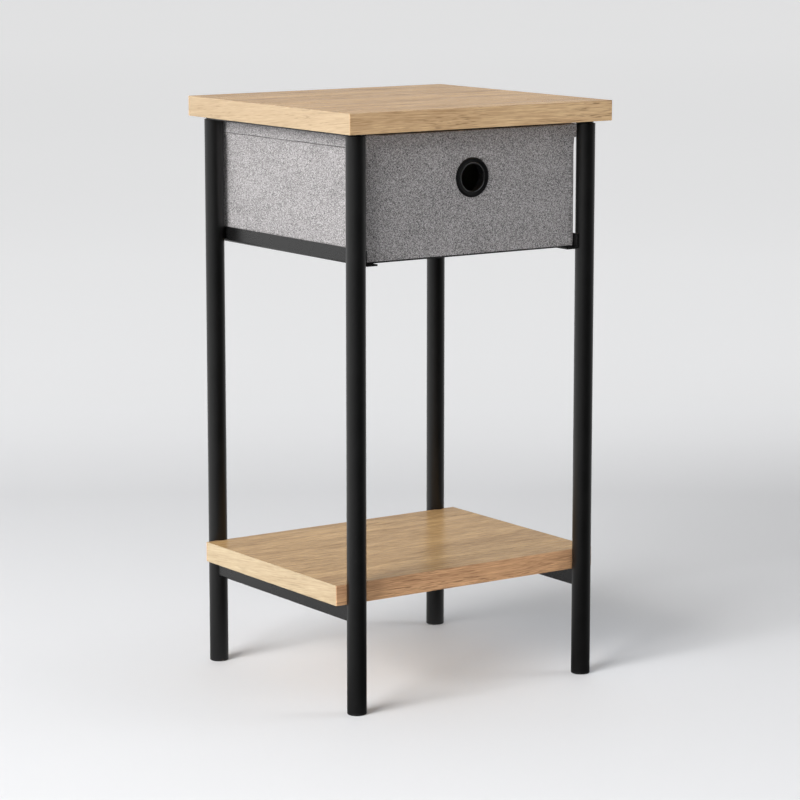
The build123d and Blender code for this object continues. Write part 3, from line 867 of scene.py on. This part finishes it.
def grommet_ring():
    """Flange and barrel of the grommet: its section turned about the finger hole's axis."""
    mesh = bmesh.new()
    plane_y = grommet_low.y + FLANGE_DEPTH
    rings = []
    for radius, depth in GROMMET_SECTION:
        ring = []
        for k in range(RING_SEGMENTS):
            angle = 2.0 * math.pi * k / RING_SEGMENTS
            x = grommet_centre.x + radius * MM * math.cos(angle)
            z = grommet_centre.z + radius * MM * math.sin(angle)
            ring.append(mesh.verts.new((x, plane_y + depth * MM, z)))
        rings.append(ring)
    for index, first in enumerate(rings):
        second = rings[(index + 1) % len(rings)]
        for k in range(RING_SEGMENTS):
            after = (k + 1) % RING_SEGMENTS
            mesh.faces.new((first[k], first[after], second[after], second[k])).smooth = True
    bmesh.ops.recalc_face_normals(mesh, faces=mesh.faces)
    return finish_piece(new_piece("grommet_ring", mesh), "grommet", ["grommet_front"])


cover = fabric_cover()
sheet = bottom_sheet()
hem = fabric_hem()
stitches = hem_stitches()
lining = inner_lining()
base_panel()
grommet_ring()


# ---------------------------------------------------------------- stage

TURN = math.radians(CAMERA_TURN)
BEHIND = (-math.sin(TURN), math.cos(TURN), 0.0)         # level, away from the viewer
ASIDE = (math.cos(TURN), math.sin(TURN), 0.0)           # level, to the viewer's right
FLOOR_REACH = 30.0               # half the floor's width
# The sweep brightens with distance from the object: metres away, light it gives
FAR_GLOW = [(0.95, 0.0), (1.05, 0.04), (1.35, 0.14), (1.6, 0.20), (2.1, 0.265), (2.75, 0.315), (3.5, 0.355),
            (6.0, 0.405), (12.0, 0.45)]
GLOW_SQUEEZE = 0.4               # sideways distance counts for this much in it
FLOOR_COLOUR = (0.755, 0.76, 0.775)
NEAR_LEFT_AREA = 0.35            # square metres towards the near left over which the floor darkens
NEAR_LEFT_SHADE = 0.89           # what is left of the floor's tone there
ROOM_FRONT, ROOM_BACK = 0.01, 0.56                      # room light from the viewer's side and from behind
GLOSS_AXIS = (math.cos(math.radians(95.0)), math.sin(math.radians(95.0)), 0.0)
GLOSS_LEVEL = 0.6                # reflected room level beside the object; more behind it, less in front
GLOSS_MOST = 0.9
LIFT_PLACE, LIFT_SIZE = (0.09, 0.16), (0.30, 0.26)      # of the light in the shadow: behind, then aside
LIFT_COLOUR = (0.062, 0.072, 0.086)


def room_in_gloss(tree, direction):
    """Level of the room in reflections: a bright sweep behind the object and a dark room in front of it."""
    level = calc(tree, "MULTIPLY", calc(tree, "ADD", along(tree, direction, GLOSS_AXIS), 1.0), GLOSS_LEVEL)
    return calc(tree, "MINIMUM", calc(tree, "MAXIMUM", level, 0.0), GLOSS_MOST)


def glow_level(tree, distance):
    """Light given off by the sweep at that distance from the object."""
    furthest = FAR_GLOW[-1][0]
    ramp = new_node(tree, "ValToRGB", {"Fac": in_range(tree, distance, 0.0, furthest)})
    stops = ramp.color_ramp.elements
    stops[0].position, stops[0].color = 0.0, grey(0.0)
    stops[1].position, stops[1].color = 1.0, grey(FAR_GLOW[-1][1])
    for place, level in FAR_GLOW[:-1]:
        stops.new(place / furthest).color = grey(level)
    return ramp.outputs["Color"]


def shadow_lift(tree, behind, aside):
    """Faint cool light inside the shadow under the object, as from a reflector held low."""
    back = calc(tree, "DIVIDE", calc(tree, "SUBTRACT", behind, LIFT_PLACE[0]), LIFT_SIZE[0])
    across = calc(tree, "DIVIDE", calc(tree, "SUBTRACT", aside, LIFT_PLACE[1]), LIFT_SIZE[1])
    reach = length(tree, new_node(tree, "CombineXYZ", {"X": back, "Y": across}).outputs[0])
    fade = {"Value": reach, "From Min": 1.0, "From Max": 0.0}
    share = new_node(tree, "MapRange", fade, interpolation_type="SMOOTHSTEP").outputs[0]
    return dimmed(tree, LIFT_COLOUR, share)


def backdrop():
    """Plain pale floor that runs on far behind the object."""
    mesh = bpy.data.meshes.new("floor")
    signs = ((-1.0, -1.0), (1.0, -1.0), (1.0, 1.0), (-1.0, 1.0))
    mesh.from_pydata([(x * FLOOR_REACH, y * FLOOR_REACH, 0.0) for x, y in signs], [], [(0, 1, 2, 3)])
    piece = bpy.data.objects.new("floor", mesh)
    scene.collection.objects.link(piece)
    material, tree, shader = new_material("floor", Roughness=0.6, Specular_IOR_Level=0.2,
                                          Emission_Strength=1.0)
    points = object_points(tree)
    rays = new_node(tree, "LightPath")
    behind, aside = along(tree, points, BEHIND), along(tree, points, ASIDE)
    squeezed = {"X": behind, "Y": calc(tree, "MULTIPLY", aside, GLOW_SQUEEZE)}
    oval = length(tree, new_node(tree, "CombineXYZ", squeezed).outputs[0])
    seen_glow = mixed(tree, 1.0, glow_level(tree, oval), shadow_lift(tree, behind, aside), blend="ADD")
    near_left = calc(tree, "MULTIPLY", calc(tree, "MINIMUM", behind, 0.0), calc(tree, "MINIMUM", aside, 0.0))
    shade = in_range(tree, near_left, 0.0, NEAR_LEFT_AREA, 1.0, NEAR_LEFT_SHADE)
    tree.links.new(dimmed(tree, FLOOR_COLOUR, shade), shader.inputs["Base Color"])
    glow = mixed(tree, rays.outputs["Is Camera Ray"], glow_level(tree, behind), seen_glow)
    tree.links.new(glow, shader.inputs["Emission Color"])

    # In reflections the floor shows the room's level instead, dimmer close to the object
    direction = new_node(tree, "VectorMath", {0: points}, operation="NORMALIZE").outputs["Vector"]
    nearness = in_range(tree, length(tree, points), 0.15, 0.8, 0.4, 1.0)
    level = calc(tree, "MULTIPLY", room_in_gloss(tree, direction), nearness)
    reflected = new_node(tree, "Emission", {"Color": level}).outputs[0]
    seen = new_node(tree, "MixShader", {0: rays.outputs["Is Glossy Ray"], 1: shader.outputs[0], 2: reflected})
    tree.links.new(seen.outputs[0], tree.nodes["Material Output"].inputs["Surface"])
    mesh.materials.append(material)


LIGHT_TARGET = Vector((0.0, 0.0, 0.3))
# Azimuth from +X towards +Y and elevation in degrees, distance, width and height in metres, watts
SOFTBOXES = {
    "key_high": (196.0, 34.0, 4.5, 2.8, 2.8, 46.0),
    "key_low": (196.0, 18.0, 4.5, 2.4, 2.1, 265.0),
    "left_fill": (180.0, 25.0, 4.5, 2.4, 2.4, 72.0),
    "front_fill": (240.0, 12.0, 4.6, 2.0, 1.6, 25.0),
    "right_fill": (330.0, 20.0, 4.5, 2.1, 2.4, 50.0),
}


def area_light(name, azimuth, elevation, distance, width, height, power):
    """Softbox that faces the object, left out of reflections."""
    data = bpy.data.lights.new(name, "AREA")
    data.shape = "RECTANGLE"
    data.size, data.size_y = width, height
    data.energy = power
    lamp = bpy.data.objects.new(name, data)
    a, e = math.radians(azimuth), math.radians(elevation)
    away = Vector((math.cos(a) * math.cos(e), math.sin(a) * math.cos(e), math.sin(e)))
    lamp.location = LIGHT_TARGET + distance * away
    lamp.rotation_mode = "QUATERNION"
    lamp.rotation_quaternion = away.to_track_quat("Z", "Y")
    lamp.visible_glossy = False
    scene.collection.objects.link(lamp)


def world_light(front, back):
    """Room light that is darker on the camera's side of the room than behind the object."""
    world = bpy.data.worlds.new("room")
    scene.world = world
    world.use_nodes = True
    tree = world.node_tree
    direction = new_node(tree, "TexCoord").outputs["Generated"]
    diffuse = in_range(tree, along(tree, direction, BEHIND), -0.6, 0.6, front, back)
    glossy = room_in_gloss(tree, direction)
    rays = new_node(tree, "LightPath")
    level = mixed(tree, rays.outputs["Is Glossy Ray"], diffuse, glossy)
    tree.links.new(level, tree.nodes["Background"].inputs["Color"])


backdrop()
for lamp_name, values in SOFTBOXES.items():
    area_light(lamp_name, *values)
world_light(ROOM_FRONT, ROOM_BACK)
